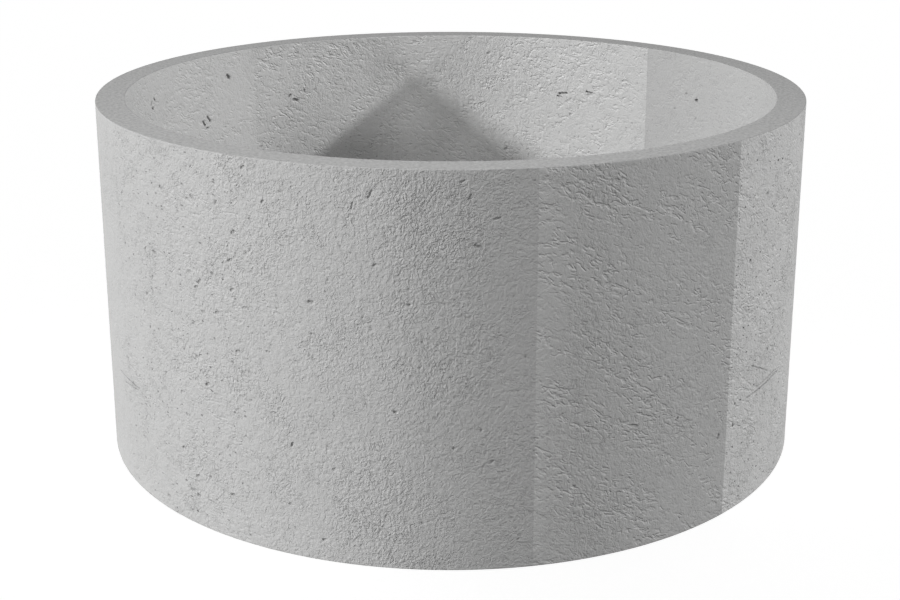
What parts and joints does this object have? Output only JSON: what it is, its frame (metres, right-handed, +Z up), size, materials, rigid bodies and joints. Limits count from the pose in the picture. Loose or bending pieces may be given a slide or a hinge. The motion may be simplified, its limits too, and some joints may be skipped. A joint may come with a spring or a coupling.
{
  "type": "concrete culvert ring",
  "caption": "Plain round precast concrete ring with square butt ends, open right through, laid or stacked end to end to form a culvert, well or chamber wall.",
  "frame": {"origin": "centre of the base, on the ring's axis, at the plane that it stands on", "axes": "+Z up along the ring's axis; X and Y lie in the base, with -Y towards the side that the picture shows"},
  "size_m": [0.9999, 1, 0.5],
  "materials": {
    "concrete": "matte"
  },
  "bodies": {
    "root": {"culvert_ring": "concrete"}
  },
  "joints": []
}
